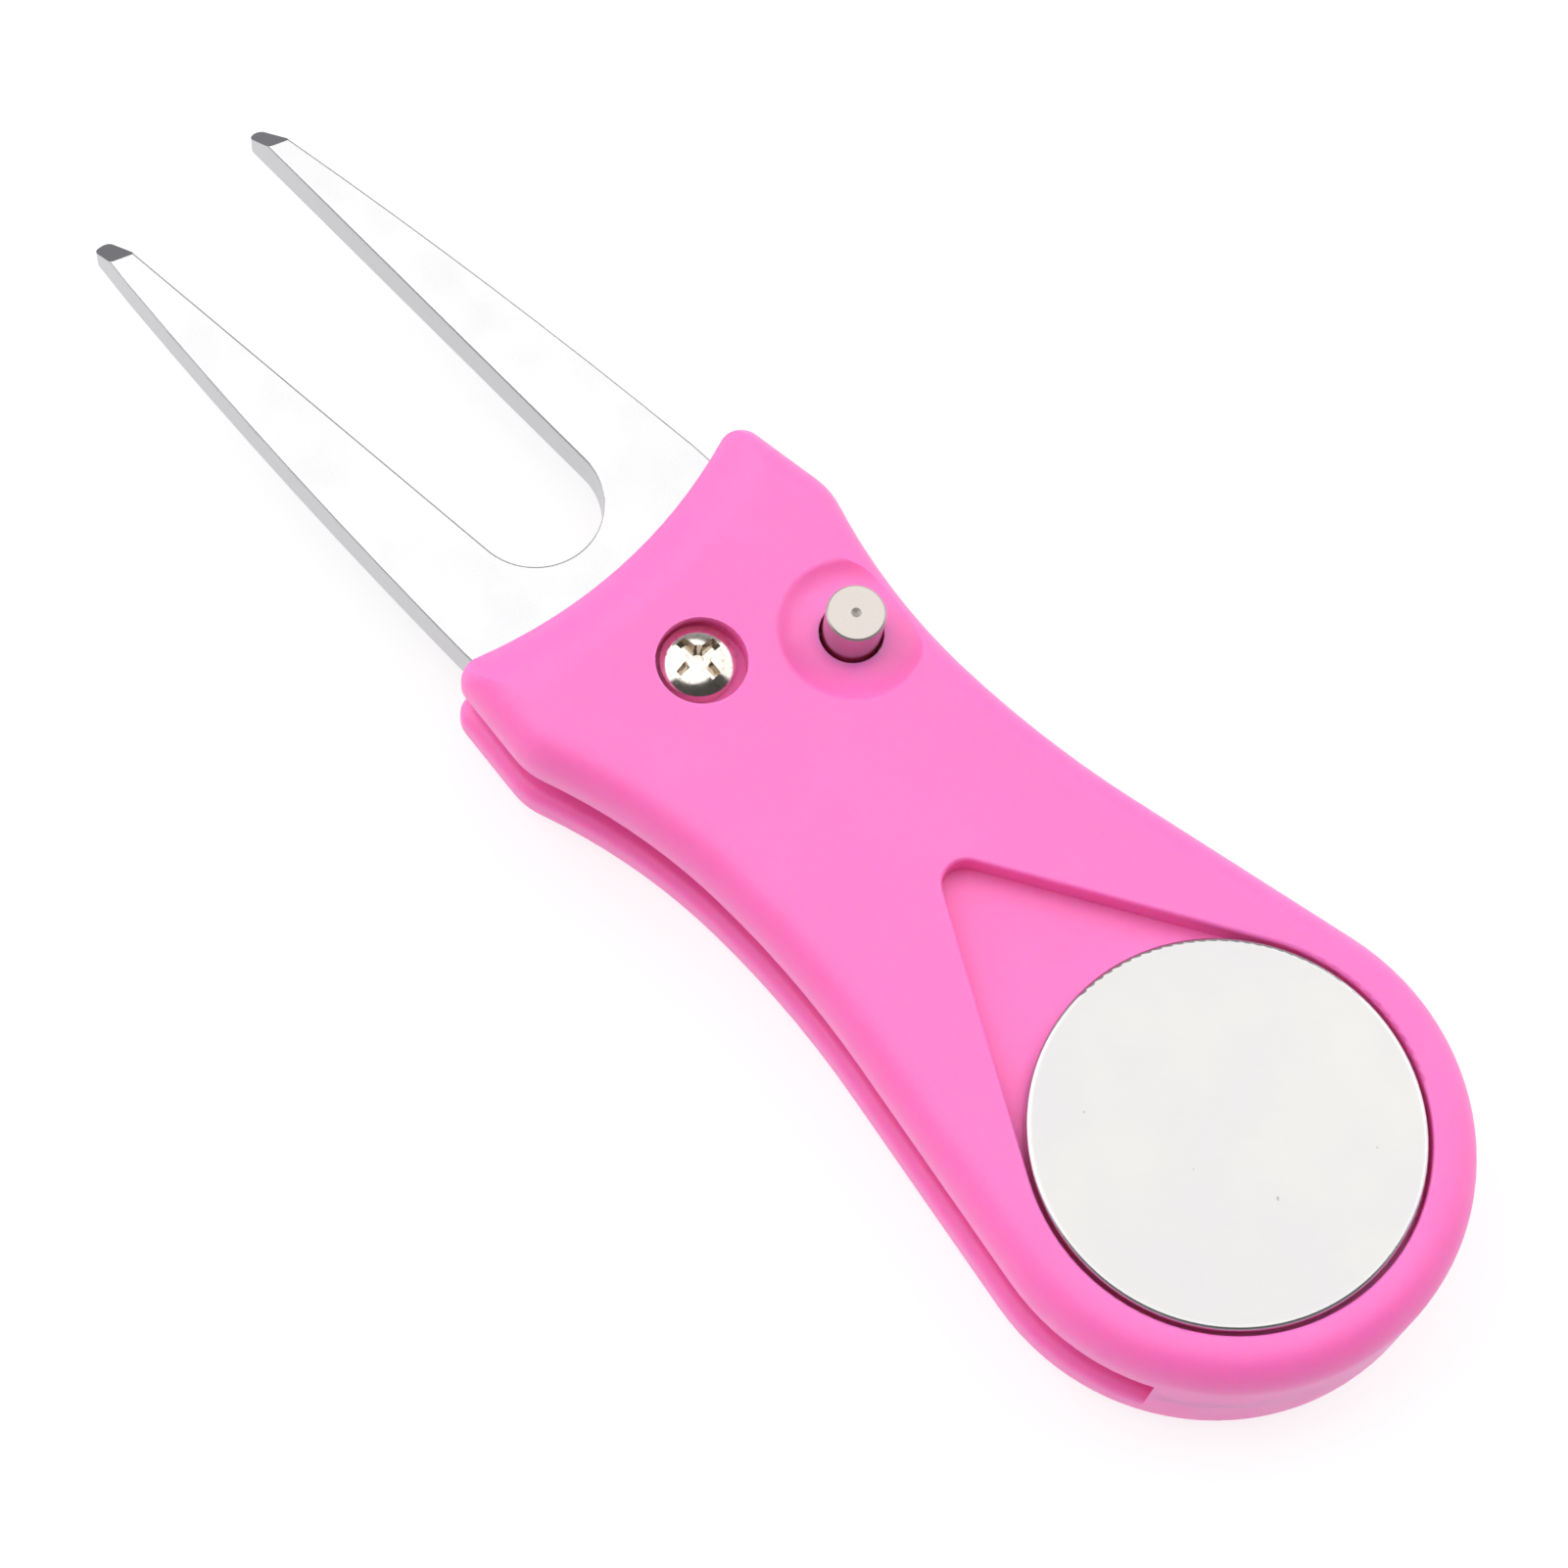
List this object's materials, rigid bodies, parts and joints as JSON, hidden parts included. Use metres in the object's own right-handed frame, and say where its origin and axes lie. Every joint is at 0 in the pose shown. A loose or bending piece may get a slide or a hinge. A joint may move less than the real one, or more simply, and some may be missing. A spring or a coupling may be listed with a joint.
{
  "type": "divot repair tool",
  "caption": "Folding golf divot repair tool: a pronged steel fork swings out of a flat pink handle with a lock button and a lift-off magnetic ball marker.",
  "frame": {"origin": "on the ball marker's axis, in the plane of the handle's rear face", "axes": "+Y along the handle towards the fork's tips, +Z from the rear face to the face that carries the ball marker, +X to the right as seen from the front with the fork up"},
  "size_m": [0.0312, 0.1076, 0.0136],
  "materials": {
    "soft_touch": "matte soft-touch coat over moulded plastic",
    "polished_steel": "tumbled and plated, fine grain",
    "plated_screw": "bright nickel plate",
    "turned_steel": "turned, fine concentric marks",
    "brass": "machined",
    "spring_steel": "drawn wire",
    "magnet": "nickel plated",
    "satin_steel": "satin face with a polished rim"
  },
  "bodies": {
    "handle": {"front_shell": "soft_touch", "rear_shell": "soft_touch", "pivot_screw": "plated_screw", "pivot_sleeve": "turned_steel", "pivot_nut": "brass", "front_washer": "turned_steel", "rear_washer": "turned_steel", "torsion_spring": "spring_steel", "button_spring": "spring_steel", "marker_magnet": "magnet", "case_screws": "plated_screw"},
    "blade": {"fork": "polished_steel"},
    "button": {"lock_button": "turned_steel"},
    "marker": {"ball_marker": "satin_steel"}
  },
  "joints": [
    {"name": "fork_swing", "type": "hinge", "parent": "handle", "child": "blade", "pos_m": [-0.00136, 0.04365, 0], "axis": [0, 0, 1], "range_deg": [0, 180], "stiffness_Nm_per_rad": 0.012, "springref_deg": -57.3, "deforming": ["torsion_spring"]},
    {"name": "button_press", "type": "slide", "parent": "handle", "child": "button", "axis": [0, 0, -1], "range_m": [0, 0.00335], "stiffness_N_per_m": 500, "springref_m": -0.001, "deforming": ["button_spring"]},
    {"name": "marker_lift", "type": "slide", "parent": "handle", "child": "marker", "axis": [0, 0, 1], "range_m": [0, 0.015]}
  ]
}
